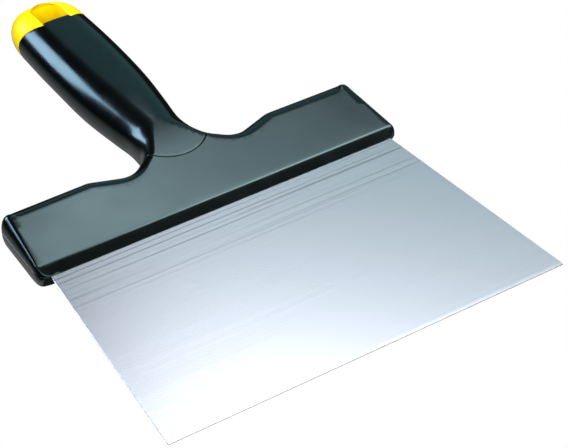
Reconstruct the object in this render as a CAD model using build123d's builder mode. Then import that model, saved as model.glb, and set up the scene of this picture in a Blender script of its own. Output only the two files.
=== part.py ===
"""Flexible putty knife: a 200 mm spring-steel blade clamped in a two-shell head, with a capped grip.

Frame: millimetres, +Z up, +X along the blade's width, +Y from the blade towards the grip's end.
The origin is on the bench, under the middle of the knife. Places called "from the lip" are measured
along +Y from the head's front edge, where the blade leaves it, and heights from the blade's middle.
"""

from build123d import *
from math import cos, pi, sin
import os

os.makedirs("parts", exist_ok=True)

# Driving dimensions ------------------------------------------------------------------------------

BLADE_EDGE_WIDTH = 200.0
BLADE_LIP_WIDTH = 179.7
BLADE_EXPOSED = 114.2
BLADE_THICKNESS = 0.5
EDGE_BEVEL = (0.12, 0.3)
HEEL_DEPTH = 28.0
HEEL_HALF_WIDTH = 89.0
FLEX_FROM_LIP = 0.15 * BLADE_EXPOSED
FLEX_GAP = 0.02

GRIP_END = 183.0
OVERALL_LENGTH = BLADE_EXPOSED + GRIP_END
LIP_Y = BLADE_EXPOSED - OVERALL_LENGTH / 2
BLADE_Z = 13.0
TALL = 60.0

HEAD_HALF_FRONT = 95.2
HEAD_HALF_BACK = 93.2
HEAD_BACK = 43.6
HEAD_BOTTOM = -13.0
HEAD_CORNER = 6.0
HEAD_FILLET = 4.0
FRONT_BEVEL = (5.0, 3.6)
TOP_SLOPE = 0.125
SCOOP_START = 50.0
SCOOP_LOW = (29.0, 39.0)
THROAT_SIDE = (17.8, 45.4)
THROAT_DIRECTION = (-0.55, 0.83)
SHELL_WALL = 2.4
SHEET_TOP = BLADE_THICKNESS / 2

JOINT_CENTRE = 54.8
JOINT_RADIUS = 20.0
JOINT_GAP = 0.3

GRIP_MIDDLE = -0.55
CAP_JOINT_CENTRE = 147.6
CAP_JOINT_RADIUS = 14.7
CAP_GAP = 0.15
HANG_HALF_WIDTH = 7.2
HANG_FRONT = 157.8
HANG_CENTRE = 169.0

SCREW_XS = (-72.0, -28.0, 28.0, 72.0)
SCREW_FROM_LIP = 21.0
SCREW_RADIUS = 1.75
SCREW_HEAD_RADIUS = 3.4
SCREW_HEAD_HEIGHT = 2.4
SCREW_SEAT = HEAD_BOTTOM + 3.4
SCREW_TIP = 3.4
SCREW_SLOT = (3.6, 0.8, 1.3)

TANG_THICKNESS = 3.0
TANG_TOP = -SHEET_TOP
TANG_BOTTOM = TANG_TOP - TANG_THICKNESS
TANG_FOOT = (50.0, 18.0)
FOOT_MIDDLE = 16.0
TANG_WIDTH = 15.0
TANG_END = 112.0
RIVET_XS = (-19.0, 19.0)
RIVET_RADIUS = 2.2
RIVET_HEAD_RADIUS = 3.8
RIVET_HEAD_HEIGHT = 1.3
PIN_FROM_LIP = 92.0
PIN_RADIUS = 2.0
PIN_ENDS = (-7.0, 4.0)
FIT = 0.1

# Core sections: from the lip, width, height and middle height.
CORE_SECTIONS = ((49.0, 18.0, 9.0, -2.0), (132.0, 28.0, 17.0, -1.2))
CORE_CORNER = 4.0
PRONG_XS = (-11.2, 11.2)
PRONG_SIZE = (5.0, 10.0)
PRONG_FRONT = 137.0
PRONG_BACK = 166.0

# Neck and grip stations: from the lip, half width, top and bottom.
GRIP_STATIONS = (
    (31.0, 31.0, 6.7, -12.6),
    (37.0, 24.0, 7.5, -12.6),
    (44.0, 18.2, 8.4, -12.7),
    (52.0, 15.7, 9.3, -12.8),
    (61.0, 15.2, 10.1, -12.8),
    (76.0, 17.1, 11.0, -12.9),
    (100.0, 19.2, 11.5, -12.9),
    (130.0, 20.1, 11.8, -12.9),
    (152.0, 19.9, 11.8, -12.9),
    (163.0, 19.4, 11.8, -12.9),
)


def at(from_lip, height=0.0):
    """The point on the middle plane this far behind the lip and this far above the blade."""
    return (0, LIP_Y + from_lip, BLADE_Z + height)


def level(height):
    """The horizontal plane this far above the blade, with its origin over the lip."""
    return Plane(at(0, height))


def upright(from_lip):
    """The plane across the knife this far behind the lip: x across, y up from the blade."""
    return Plane(at(from_lip), x_dir=(1, 0, 0), z_dir=(0, -1, 0))


def side(x=0.0):
    """The lengthwise upright plane at x: its x runs back from the lip, its y up from the blade."""
    return Plane(at(0), x_dir=(0, 1, 0), z_dir=(1, 0, 0)).offset(x)


def head_top_height(from_lip):
    """Height of the head's sloping top above the blade."""
    return FRONT_BEVEL[1] + TOP_SLOPE * (from_lip - FRONT_BEVEL[0])


# The grip's outer form: neck, grip and domed end ---------------------------------------------------

DOME_START, DOME_HALF_WIDTH, DOME_TOP, DOME_BOTTOM = GRIP_STATIONS[-1]
DOME_ANGLES = (30, 52, 70, 84)
BLUNT_ACROSS = 0.62
BLUNT_IN_HEIGHT = 0.8
ROUND_IN_HEIGHT = 0.485
ROUND_ACROSS = 0.97


def dome_station(angle):
    """A station on the domed end: blunt across the width, rounder in height."""
    shrink = cos(angle * pi / 180)
    from_lip = DOME_START + (GRIP_END - DOME_START) * sin(angle * pi / 180)
    half_height = (DOME_TOP - DOME_BOTTOM) / 2 * shrink**BLUNT_IN_HEIGHT
    half_width = DOME_HALF_WIDTH * shrink**BLUNT_ACROSS
    return (from_lip, half_width, GRIP_MIDDLE + half_height, GRIP_MIDDLE - half_height)


def section_size(station):
    """Width, height and corner radius of the grip's rounded section at a station."""
    half_width, height = station[1], station[2] - station[3]
    return 2 * half_width, height, min(ROUND_IN_HEIGHT * height, ROUND_ACROSS * half_width)


with BuildPart() as grip_form:
    for station in GRIP_STATIONS:
        with BuildSketch(upright(station[0])):
            with Locations((0, (station[2] + station[3]) / 2)):
                RectangleRounded(*section_size(station))
    loft()

with BuildPart() as dome_form:
    for station in (GRIP_STATIONS[-1], *map(dome_station, DOME_ANGLES)):
        with BuildSketch(upright(station[0])):
            with Locations((0, (station[2] + station[3]) / 2)):
                RectangleRounded(*section_size(station))
    loft()
    rear = faces().sort_by(Axis.Y)[-1]
    extrude(rear, amount=LIP_Y + GRIP_END - rear.center().Y)

# Blade: the free sheet, which flexes about a line just ahead of the lip, and the clamped heel --------


def blade_half_width(before_lip):
    """Half the blade's width this far ahead of the lip."""
    flare = (BLADE_EDGE_WIDTH - BLADE_LIP_WIDTH) / 2 / BLADE_EXPOSED
    return BLADE_LIP_WIDTH / 2 + flare * before_lip


FLEX_HALF_WIDTH = blade_half_width(FLEX_FROM_LIP)
HEEL_FRONT = FLEX_FROM_LIP - SHEET_TOP - FLEX_GAP

with BuildPart() as blade:
    with BuildSketch(level(-SHEET_TOP)):
        with BuildLine():
            Polyline(
                (-FLEX_HALF_WIDTH, -FLEX_FROM_LIP),
                (-BLADE_EDGE_WIDTH / 2, -BLADE_EXPOSED),
                (BLADE_EDGE_WIDTH / 2, -BLADE_EXPOSED),
                (FLEX_HALF_WIDTH, -FLEX_FROM_LIP),
                close=True,
            )
        make_face()
    extrude(amount=BLADE_THICKNESS)
    working_edges = edges().filter_by(Axis.X).group_by(Axis.Y)[0]
    chamfer(working_edges, *EDGE_BEVEL)
    with BuildSketch(side(-FLEX_HALF_WIDTH)):
        with Locations((-FLEX_FROM_LIP, 0)):
            Circle(SHEET_TOP)
    extrude(amount=2 * FLEX_HALF_WIDTH)
blade.part.label = "blade"
export_step(blade.part, "parts/blade.step")

with BuildPart() as blade_heel:
    with BuildSketch(level(-SHEET_TOP)):
        with BuildLine():
            Polyline(
                (-blade_half_width(HEEL_FRONT), -HEEL_FRONT),
                (-BLADE_LIP_WIDTH / 2, 0),
                (-HEEL_HALF_WIDTH, 0),
                (-HEEL_HALF_WIDTH, HEEL_DEPTH),
                (HEEL_HALF_WIDTH, HEEL_DEPTH),
                (HEEL_HALF_WIDTH, 0),
                (BLADE_LIP_WIDTH / 2, 0),
                (blade_half_width(HEEL_FRONT), -HEEL_FRONT),
                close=True,
            )
        make_face()
        with Locations([(x, SCREW_FROM_LIP) for x in SCREW_XS]):
            Circle(SCREW_RADIUS + FIT, mode=Mode.SUBTRACT)
        with Locations([(x, FOOT_MIDDLE) for x in RIVET_XS]):
            Circle(RIVET_RADIUS, mode=Mode.SUBTRACT)
    extrude(amount=BLADE_THICKNESS)
blade_heel.part.label = "blade_heel"
export_step(blade_heel.part, "parts/blade_heel.step")

# Head: one form, bevelled at the lip, split into an upper and a lower shell --------------------------

HEAD_SKY = 15.0
PAST_HEAD = 60.0
AHEAD_OF_LIP = -1.0
LOWER_LIP_BACK = 13.0
LOWER_LIP_MIDDLE = (3.7, -8.9)

with BuildPart() as head_form:
    with BuildSketch(level(HEAD_BOTTOM)):
        with BuildLine():
            Line((0, 0), (HEAD_HALF_FRONT, 0))
            Line((HEAD_HALF_FRONT, 0), (HEAD_HALF_BACK, HEAD_BACK))
            Line((HEAD_HALF_BACK, HEAD_BACK), (SCOOP_START, HEAD_BACK))
            Spline(
                (SCOOP_START, HEAD_BACK),
                SCOOP_LOW,
                THROAT_SIDE,
                tangents=[(-1, 0), (-1, 0), THROAT_DIRECTION],
            )
            Line(THROAT_SIDE, (0, THROAT_SIDE[1]))
            mirror(about=Plane.YZ)
        make_face()
        fillet([v for v in vertices() if abs(v.X) > HEAD_HALF_BACK - FIT], HEAD_CORNER)
    extrude(amount=HEAD_SKY - HEAD_BOTTOM)
    with BuildSketch(side()):
        with BuildLine():
            Polyline(
                (AHEAD_OF_LIP, head_top_height(AHEAD_OF_LIP)),
                (PAST_HEAD, head_top_height(PAST_HEAD)),
                (PAST_HEAD, HEAD_BOTTOM),
                (AHEAD_OF_LIP, HEAD_BOTTOM),
                close=True,
            )
        make_face()
    extrude(amount=HEAD_HALF_FRONT, both=True, mode=Mode.INTERSECT)
    throat_y = LIP_Y + THROAT_SIDE[1]
    for end in (-1, 0):
        rim = faces().sort_by(Axis.Z)[end].edges()
        fillet([edge for edge in rim if abs(edge.center().Y - throat_y) > FIT], HEAD_FILLET)
    with BuildSketch(side()):
        with BuildLine():
            Line((0, 0), (3 * FRONT_BEVEL[0], 3 * FRONT_BEVEL[1]))
            Line((3 * FRONT_BEVEL[0], 3 * FRONT_BEVEL[1]), (PAST_HEAD, HEAD_SKY))
            Line((PAST_HEAD, HEAD_SKY), (PAST_HEAD, HEAD_BOTTOM))
            Line((PAST_HEAD, HEAD_BOTTOM), (LOWER_LIP_BACK, HEAD_BOTTOM))
            ThreePointArc((LOWER_LIP_BACK, HEAD_BOTTOM), LOWER_LIP_MIDDLE, (0, 0))
        make_face()
    extrude(amount=HEAD_HALF_FRONT, both=True, mode=Mode.INTERSECT)
    add(grip_form.part)
    with BuildSketch(level(-TALL)):
        with Locations((0, JOINT_CENTRE)):
            Circle(JOINT_RADIUS + JOINT_GAP)
        with Locations((0, JOINT_CENTRE + GRIP_END / 2)):
            Rectangle(4 * JOINT_RADIUS, GRIP_END)
    extrude(amount=2 * TALL, mode=Mode.SUBTRACT)

TOP_BAY_FRONT = 7.5
BOTTOM_BAY_FRONT = 10.0
BAY_BACK = HEAD_BACK - 5.0
MIDDLE_BAY_BACK = JOINT_CENTRE - JOINT_RADIUS - 3.0

# Hollow bays between the shells' ribs: middle, width and how far back they reach.
BAYS = (
    (0.0, 46.0, MIDDLE_BAY_BACK),
    (-50.0, 34.0, BAY_BACK),
    (50.0, 34.0, BAY_BACK),
    (-82.5, 10.0, BAY_BACK),
    (82.5, 10.0, BAY_BACK),
)

with BuildPart() as head_top:
    add(head_form.part)
    split(bisect_by=level(SHEET_TOP), keep=Keep.TOP)
    for middle, width, back in BAYS:
        with BuildSketch(side(middle)):
            with BuildLine():
                Polyline(
                    (TOP_BAY_FRONT, 0),
                    (TOP_BAY_FRONT, head_top_height(TOP_BAY_FRONT) - SHELL_WALL),
                    (back, head_top_height(back) - SHELL_WALL),
                    (back, 0),
                    close=True,
                )
            make_face()
        extrude(amount=width / 2, both=True, mode=Mode.SUBTRACT)
    with BuildSketch(level(0)):
        with Locations([(x, SCREW_FROM_LIP) for x in SCREW_XS]):
            Circle(SCREW_RADIUS)
    extrude(amount=SCREW_TIP + FIT, mode=Mode.SUBTRACT)
head_top.part.label = "head_top"
export_step(head_top.part, "parts/head_top.step")

with BuildPart() as head_bottom:
    add(head_form.part)
    split(bisect_by=level(SHEET_TOP), keep=Keep.BOTTOM)
    with BuildSketch(level(-SHEET_TOP)):
        with Locations((0, HEEL_DEPTH / 2)):
            Rectangle(BLADE_LIP_WIDTH, HEEL_DEPTH + 2 * FIT)
    extrude(amount=2 * SHEET_TOP, mode=Mode.SUBTRACT)
    for middle, width, back in BAYS:
        with BuildSketch(level(HEAD_BOTTOM + SHELL_WALL)):
            with Locations((middle, (BOTTOM_BAY_FRONT + back) / 2)):
                Rectangle(width, back - BOTTOM_BAY_FRONT)
        extrude(amount=-HEAD_BOTTOM, mode=Mode.SUBTRACT)
    with BuildSketch(level(TANG_BOTTOM)):
        with Locations((0, FOOT_MIDDLE)):
            Rectangle(TANG_FOOT[0] + 2 * FIT, TANG_FOOT[1] + 2 * FIT)
        with Locations((0, (FOOT_MIDDLE + JOINT_CENTRE) / 2)):
            Rectangle(TANG_WIDTH + 2 * FIT, JOINT_CENTRE - FOOT_MIDDLE)
    extrude(amount=TANG_THICKNESS, mode=Mode.SUBTRACT)
    with BuildSketch(level(HEAD_BOTTOM)):
        with Locations([(x, SCREW_FROM_LIP) for x in SCREW_XS]):
            Circle(SCREW_HEAD_RADIUS + 2 * FIT)
    extrude(amount=SCREW_SEAT - HEAD_BOTTOM, mode=Mode.SUBTRACT)
    with BuildSketch(level(SCREW_SEAT)):
        with Locations([(x, SCREW_FROM_LIP) for x in SCREW_XS]):
            Circle(SCREW_RADIUS + FIT)
    extrude(amount=-SCREW_SEAT, mode=Mode.SUBTRACT)
head_bottom.part.label = "head_bottom"
export_step(head_bottom.part, "parts/head_bottom.step")

with BuildPart() as head_screws:
    with BuildSketch(level(SCREW_SEAT - SCREW_HEAD_HEIGHT)):
        with Locations([(x, SCREW_FROM_LIP) for x in SCREW_XS]):
            Circle(SCREW_HEAD_RADIUS)
    extrude(amount=SCREW_HEAD_HEIGHT)
    fillet(edges().filter_by(GeomType.CIRCLE).group_by(Axis.Z)[0], SCREW_HEAD_HEIGHT / 3)
    with BuildSketch(level(SCREW_SEAT)):
        with Locations([(x, SCREW_FROM_LIP) for x in SCREW_XS]):
            Circle(SCREW_RADIUS - FIT / 2)
    extrude(amount=SCREW_TIP - SCREW_SEAT)
    chamfer(edges().filter_by(GeomType.CIRCLE).group_by(Axis.Z)[-1], SCREW_RADIUS / 2)
    with BuildSketch(level(SCREW_SEAT - SCREW_HEAD_HEIGHT)):
        with Locations([(x, SCREW_FROM_LIP) for x in SCREW_XS]):
            Rectangle(SCREW_SLOT[0], SCREW_SLOT[1])
            Rectangle(SCREW_SLOT[1], SCREW_SLOT[0])
    extrude(amount=SCREW_SLOT[2], mode=Mode.SUBTRACT)
head_screws.part.label = "head_screws"
export_step(head_screws.part, "parts/head_screws.step")

# Tang: a steel T riveted under the heel, which runs back into the grip's core ------------------------

with BuildPart() as tang:
    with BuildSketch(level(TANG_BOTTOM)):
        with Locations((0, FOOT_MIDDLE)):
            Rectangle(*TANG_FOOT)
        with Locations((0, (FOOT_MIDDLE + TANG_END) / 2)):
            Rectangle(TANG_WIDTH, TANG_END - FOOT_MIDDLE)
        fillet(vertices().group_by(Axis.Y)[-1], TANG_WIDTH / 4)
        with Locations([(x, FOOT_MIDDLE) for x in RIVET_XS]):
            Circle(RIVET_RADIUS, mode=Mode.SUBTRACT)
        with Locations((0, PIN_FROM_LIP)):
            Circle(PIN_RADIUS, mode=Mode.SUBTRACT)
    extrude(amount=TANG_THICKNESS)
tang.part.label = "tang"
export_step(tang.part, "parts/tang.step")

with BuildPart() as tang_rivets:
    with BuildSketch(level(TANG_BOTTOM - RIVET_HEAD_HEIGHT)):
        with Locations([(x, FOOT_MIDDLE) for x in RIVET_XS]):
            Circle(RIVET_HEAD_RADIUS)
    extrude(amount=RIVET_HEAD_HEIGHT)
    with BuildSketch(level(SHEET_TOP)):
        with Locations([(x, FOOT_MIDDLE) for x in RIVET_XS]):
            Circle(RIVET_HEAD_RADIUS)
    extrude(amount=RIVET_HEAD_HEIGHT)
    round_rims = edges().filter_by(GeomType.CIRCLE).group_by(Axis.Z)
    fillet(round_rims[0] + round_rims[-1], 0.8 * RIVET_HEAD_HEIGHT)
    with BuildSketch(level(TANG_BOTTOM)):
        with Locations([(x, FOOT_MIDDLE) for x in RIVET_XS]):
            Circle(RIVET_RADIUS)
    extrude(amount=TANG_THICKNESS + BLADE_THICKNESS)
tang_rivets.part.label = "tang_rivets"
export_step(tang_rivets.part, "parts/tang_rivets.step")

# Grip: a stiff core moulded round the tang and pinned to it, inside the outer grip --------------------

with BuildPart() as core_form:
    for from_lip, width, height, middle in CORE_SECTIONS:
        with BuildSketch(upright(from_lip)):
            with Locations((0, middle)):
                RectangleRounded(width, height, CORE_CORNER)
    loft()

with BuildPart() as handle_core:
    add(core_form.part)
    add(tang.part, mode=Mode.SUBTRACT)
    with BuildSketch(level(PIN_ENDS[0])):
        with Locations((0, PIN_FROM_LIP)):
            Circle(PIN_RADIUS)
    extrude(amount=PIN_ENDS[1] - PIN_ENDS[0], mode=Mode.SUBTRACT)
handle_core.part.label = "handle_core"
export_step(handle_core.part, "parts/handle_core.step")

with BuildPart() as core_pin:
    with BuildSketch(level(PIN_ENDS[0])):
        with Locations((0, PIN_FROM_LIP)):
            Circle(PIN_RADIUS)
    extrude(amount=PIN_ENDS[1] - PIN_ENDS[0])
core_pin.part.label = "core_pin"
export_step(core_pin.part, "parts/core_pin.step")


def space_behind(radius):
    """The space behind the curved joint between the grip and its cap."""
    with BuildPart() as space:
        with BuildSketch(side()):
            with Locations((CAP_JOINT_CENTRE + TALL / 2, GRIP_MIDDLE)):
                Rectangle(TALL, TALL)
            with Locations((CAP_JOINT_CENTRE, GRIP_MIDDLE)):
                Circle(radius, mode=Mode.SUBTRACT)
        extrude(amount=TALL, both=True)
    return space.part


behind_grip = space_behind(CAP_JOINT_RADIUS)
behind_gap = space_behind(CAP_JOINT_RADIUS + CAP_GAP)

with BuildPart() as tongue_form:
    add(grip_form.part)
    with BuildSketch(level(-TALL)):
        with Locations((0, (CAP_JOINT_CENTRE + HANG_FRONT) / 2)):
            Rectangle(2 * HANG_HALF_WIDTH, HANG_FRONT - CAP_JOINT_CENTRE)
    extrude(amount=2 * TALL, mode=Mode.INTERSECT)

with BuildPart() as handle_grip:
    add(grip_form.part)
    add(behind_grip, mode=Mode.SUBTRACT)
    add(tongue_form.part)
    with BuildSketch(level(-TALL)):
        with Locations((0, HANG_FRONT + TALL / 2)):
            Rectangle(2 * HANG_HALF_WIDTH, TALL)
    extrude(amount=2 * TALL, mode=Mode.SUBTRACT)
    with BuildSketch(level(-TALL)):
        with Locations((0, JOINT_CENTRE)):
            Circle(JOINT_RADIUS)
        with Locations((0, JOINT_CENTRE + GRIP_END / 2)):
            Rectangle(4 * JOINT_RADIUS, GRIP_END)
    extrude(amount=2 * TALL, mode=Mode.INTERSECT)
    add(core_form.part, mode=Mode.SUBTRACT)
    add(tang.part, mode=Mode.SUBTRACT)
    with BuildSketch(upright(PRONG_BACK)):
        with Locations([(x, GRIP_MIDDLE) for x in PRONG_XS]):
            Rectangle(PRONG_SIZE[0] + 2 * FIT, PRONG_SIZE[1] + 2 * FIT)
    extrude(amount=PRONG_BACK - PRONG_FRONT + FIT, mode=Mode.SUBTRACT)
handle_grip.part.label = "handle_grip"
export_step(handle_grip.part, "parts/handle_grip.step")

# End cap: two prongs snap into the grip, and the hanging hole runs down behind the grip's tongue ------

with BuildPart() as end_cap:
    add(grip_form.part)
    add(dome_form.part)
    add(behind_gap, mode=Mode.INTERSECT)
    with BuildSketch(upright(PRONG_BACK)):
        with Locations([(x, GRIP_MIDDLE) for x in PRONG_XS]):
            Rectangle(*PRONG_SIZE)
    extrude(amount=PRONG_BACK - PRONG_FRONT)
    with BuildSketch(level(-TALL)):
        with Locations((0, (CAP_JOINT_CENTRE + HANG_CENTRE) / 2)):
            Rectangle(2 * (HANG_HALF_WIDTH + CAP_GAP), HANG_CENTRE - CAP_JOINT_CENTRE)
        with Locations((0, HANG_CENTRE)):
            Circle(HANG_HALF_WIDTH + CAP_GAP)
    extrude(amount=2 * TALL, mode=Mode.SUBTRACT)
end_cap.part.label = "end_cap"
export_step(end_cap.part, "parts/end_cap.step")
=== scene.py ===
"""Looks of the flexible putty knife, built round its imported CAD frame.

The plastic pieces are closed meshes. Each is a plan outline filled with triangles, whose upper and lower
faces follow height formulas, so that the head, neck and grip flow into each other as one moulding.
Plan points are millimetres: x across the knife, u back from the lip, z up from the blade's middle.
"""

import math

import bmesh
import bpy
import numpy as np
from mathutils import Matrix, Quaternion, Vector
from mathutils.geometry import delaunay_2d_cdt


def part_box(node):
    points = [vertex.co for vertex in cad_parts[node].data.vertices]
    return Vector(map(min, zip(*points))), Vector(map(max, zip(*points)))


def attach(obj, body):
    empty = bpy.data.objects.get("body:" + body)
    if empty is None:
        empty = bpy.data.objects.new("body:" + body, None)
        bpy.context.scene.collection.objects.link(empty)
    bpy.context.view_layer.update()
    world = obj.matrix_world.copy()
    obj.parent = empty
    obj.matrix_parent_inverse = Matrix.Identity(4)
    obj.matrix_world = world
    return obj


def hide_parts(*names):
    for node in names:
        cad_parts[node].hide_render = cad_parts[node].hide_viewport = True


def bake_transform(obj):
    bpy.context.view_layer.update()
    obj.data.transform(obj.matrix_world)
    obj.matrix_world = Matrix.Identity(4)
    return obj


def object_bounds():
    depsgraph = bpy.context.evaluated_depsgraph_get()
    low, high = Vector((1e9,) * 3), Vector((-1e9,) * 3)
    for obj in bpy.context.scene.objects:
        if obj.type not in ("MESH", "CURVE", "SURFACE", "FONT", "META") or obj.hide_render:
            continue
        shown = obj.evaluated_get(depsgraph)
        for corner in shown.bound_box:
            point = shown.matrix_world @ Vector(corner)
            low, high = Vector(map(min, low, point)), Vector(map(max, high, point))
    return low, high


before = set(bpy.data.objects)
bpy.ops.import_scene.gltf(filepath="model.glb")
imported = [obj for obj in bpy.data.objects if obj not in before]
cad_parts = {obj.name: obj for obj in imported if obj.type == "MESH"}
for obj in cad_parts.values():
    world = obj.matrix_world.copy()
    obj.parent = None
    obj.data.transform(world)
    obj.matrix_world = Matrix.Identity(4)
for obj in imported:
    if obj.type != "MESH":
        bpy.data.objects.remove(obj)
cad_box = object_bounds()

MM = 0.001
LIP_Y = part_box("head_top")[0].y
BLADE_Z = (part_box("blade")[0].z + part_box("blade")[1].z) / 2

# Driving sizes, in millimetres ------------------------------------------------------------------------

BLADE_LENGTH = (LIP_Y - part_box("blade")[0].y) / MM
BLADE_EDGE_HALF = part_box("blade")[1].x / MM
BLADE_LIP_HALF = 89.85
BLADE_HALF_THICK = (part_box("blade")[1].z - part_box("blade")[0].z) / 2 / MM
HEEL_DEPTH = (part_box("blade_heel")[1].y - LIP_Y) / MM
HEEL_HALF = 89.0
KNIFE_END = (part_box("end_cap")[1].y - LIP_Y) / MM

# The head's front: the bevel on top, the land along the lip, and the curve underneath as (u, height).
BEVEL_BACK = 5.0
BEVEL_TOP = 3.6
BEVEL_CREASE = 0.25
LIP_LAND = 0.45
LOWER_LIP = (
    (-1.5, 1.5), (0, -0.5), (1.5, -2.5), (3, -4.7), (4.5, -7.0), (5.9, -9.3), (7.4, -11.3),
    (9.2, -12.05), (11.5, -12.4),
)
LOWER_LIP_BACK = 11.5
HEAD_BOTTOM = -12.4

# The curved joint between head and grip, and the heights of the seams round the sides.
JOINT_CENTRE = 54.8
JOINT_RADIUS = 20.0
JOINT_GAP = 0.2
SHELL_SEAM = 0.0
GRIP_SEAM = -0.85

# The end cap, whose front is part of a cylinder that lies across the knife, and its hanging slot.
DOME_START = 163.0
DOME_SQUARENESS = 0.62
CAP_CENTRE = 147.6
CAP_RADIUS = 14.7
CAP_GAP = 0.15
HANG_HALF = 7.2
HANG_FRONT = 157.8
HANG_CENTRE = 169.0

# Corners of the head's right half, each with its radius in plan.
HEAD_CORNERS = (
    (0.0, 0.0, 0.0),
    (95.2, 0.0, 6.0),
    (93.2, 43.8, 6.5),
    (47.6, 44.2, 11.0),
    (27.7, 37.7, 10.0),
    (14.9, 46.9, 14.0),
    (14.5, 57.0, 0.0),
)

# The grip's side as (x, u), and the middles of the upper and lower faces as (u, height).
GRIP_SIDE = (
    (14.5, 57.0), (14.5, 65.0), (16.1, 77.0), (18.8, 99.0), (20.0, 126.0), (19.9, 148.0),
    (19.4, 163.0),
)
TOP_LINE = (
    (-10, 1.72), (35, 7.35), (45, 8.6), (53, 9.36), (63, 10.0), (78, 10.75), (100, 11.3),
    (130, 11.7), (190, 11.8),
)
BOTTOM_LINE = ((-10, -12.4), (45, -12.8), (60, -13.3), (80, -13.6), (100, -13.6), (190, -13.6))

# How far the grip's faces fall away from their middle, at CROWN_HALF to the side of it.
CROWN = 0.9
CROWN_HALF = 20.0

# How far in the upper edge is rounded: on the head's ends for some distances from the lip, at its back, and
# on the grip. A name with MORE is what that place adds.
TOP_ON_ENDS = ((0, 6, 36), (0.4, 2.0, 4.3))
TOP_ON_BACK = 6.3
TOP_MORE_PAST_NECK = 2.3
TOP_ON_GRIP = 13.5
TOP_MORE_ON_DOME = 4.0

# The same for the lower edge.
LOWER_ON_HEAD = ((0, 6), (1.5, 6.5))
LOWER_ON_GRIP = 8.0
LOWER_MORE_ON_BELLY = 3.0
LOWER_MORE_ON_DOME = 5.0

# Where one part's shape turns into the next one's, as distances across (x) or back from the lip (u).
NECK_TO_BACK_X = (20, 36)
END_TO_BACK_X = (93.3, 87.0)
END_TO_BACK_U = (24, 38)
TOP_HEAD_TO_GRIP = (48, 64)
LOWER_HEAD_TO_GRIP = (50, 68)
CROWN_RISES = (46, 80)
SEAM_DROPS = (40, 100)
SIDES_ROUND_OUT = (40, 66)
BELLY = (100, 135)
DOME = (170, 182)

# Limits on how far down an edge's rounding goes.
MOST_DOWN_PER_ACROSS = 1.75
WALL_LEFT = 0.3
LEAST_DOWN = 0.05
JOINT_SHARE_OF_WALL = 0.9


def smooth_step(start, end, value):
    """0 before start, 1 after end, and a smooth rise between."""
    t = np.clip((value - start) / (end - start), 0, 1)
    return t * t * (3 - 2 * t)


def curve(knots, values, at):
    """A smooth curve through values at knots, read off at the given places."""
    knots, values, at = (np.asarray(item, float) for item in (knots, values, at))
    slopes = np.gradient(values, knots, axis=0)
    i = np.clip(np.searchsorted(knots, at) - 1, 0, len(knots) - 2)
    width = knots[i + 1] - knots[i]
    t = (at - knots[i]) / width
    if values.ndim > 1:
        t, width = t[:, None], width[:, None]
    start, end = values[i], values[i + 1]
    rise = (2 * t**3 - 3 * t**2 + 1) * start + (3 * t**2 - 2 * t**3) * end
    return rise + width * ((t**3 - 2 * t**2 + t) * slopes[i] + (t**3 - t**2) * slopes[i + 1])


def spaced(start, end, step):
    """Points from start to end, evenly spaced about a step apart, without the last."""
    start, end = np.asarray(start, float), np.asarray(end, float)
    count = max(1, round(np.linalg.norm(end - start) / step))
    return [start + (end - start) * k / count for k in range(count)]


def rounded_path(corners, step, arc_step):
    """Points along straight runs between corners, with an arc of each corner's radius."""
    places = [np.array(corner[:2]) for corner in corners]
    path, here = [], places[0]
    for before, corner, after, (_, _, radius) in zip(places, places[1:], places[2:], corners[1:]):
        into, out = corner - before, after - corner
        into, out = into / np.linalg.norm(into), out / np.linalg.norm(out)
        turn = math.atan2(into[0] * out[1] - into[1] * out[0], into @ out)
        reach = radius * math.tan(abs(turn) / 2)
        first, side = corner - into * reach, np.sign(turn)
        centre = first + side * radius * np.array([-into[1], into[0]])
        path += spaced(here, first, step)
        count = max(2, round(abs(turn) * radius / arc_step))
        for k in range(count):
            angle = turn * k / count
            spoke = first - centre
            path.append(centre + np.array([
                spoke[0] * math.cos(angle) - spoke[1] * math.sin(angle),
                spoke[0] * math.sin(angle) + spoke[1] * math.cos(angle),
            ]))
        here = corner + out * reach
    return path + spaced(here, places[-1], step)


# The black-and-yellow outline's right half in plan, from the lip's middle to the knife's end ---------

HEAD_STEP = 2.5
CORNER_STEP = 0.7
GRIP_STEP = 1.2
DOME_POINTS = 60
DOME_BUNCHING = 0.8
BATCH = 1500


def right_outline():
    """The right half of the outline, from (0, 0) to the knife's end."""
    path = rounded_path(HEAD_CORNERS, HEAD_STEP, CORNER_STEP)
    side = np.array(GRIP_SIDE)
    length = np.concatenate([[0], np.cumsum(np.linalg.norm(np.diff(side, axis=0), axis=1))])
    count = round(length[-1] / GRIP_STEP)
    path += list(curve(length, side, np.linspace(0, length[-1], count))[:-1])
    half, depth = GRIP_SIDE[-1][0], KNIFE_END - DOME_START
    for t in np.linspace(0, 1, DOME_POINTS) ** DOME_BUNCHING:
        angle = t * math.pi / 2
        x = half * max(math.cos(angle), 0) ** DOME_SQUARENESS
        path.append(np.array([x, DOME_START + depth * math.sin(angle)]))
    return np.array(path)


RIGHT = right_outline()
MIRROR = np.array([-1.0, 1.0])


def top_radius(points):
    """How far in from the outline the upper edge is rounded, beside each outline point."""
    x, u = np.abs(points[:, 0]), points[:, 1]
    on_ends = np.interp(u, *TOP_ON_ENDS)
    on_back = TOP_ON_BACK + TOP_MORE_PAST_NECK * smooth_step(*NECK_TO_BACK_X, x)
    near_back = smooth_step(*END_TO_BACK_X, x) * smooth_step(*END_TO_BACK_U, u)
    head = on_ends + (on_back - on_ends) * near_back
    grip = TOP_ON_GRIP + TOP_MORE_ON_DOME * smooth_step(*DOME, u)
    return head + (grip - head) * smooth_step(*TOP_HEAD_TO_GRIP, u)


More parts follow.
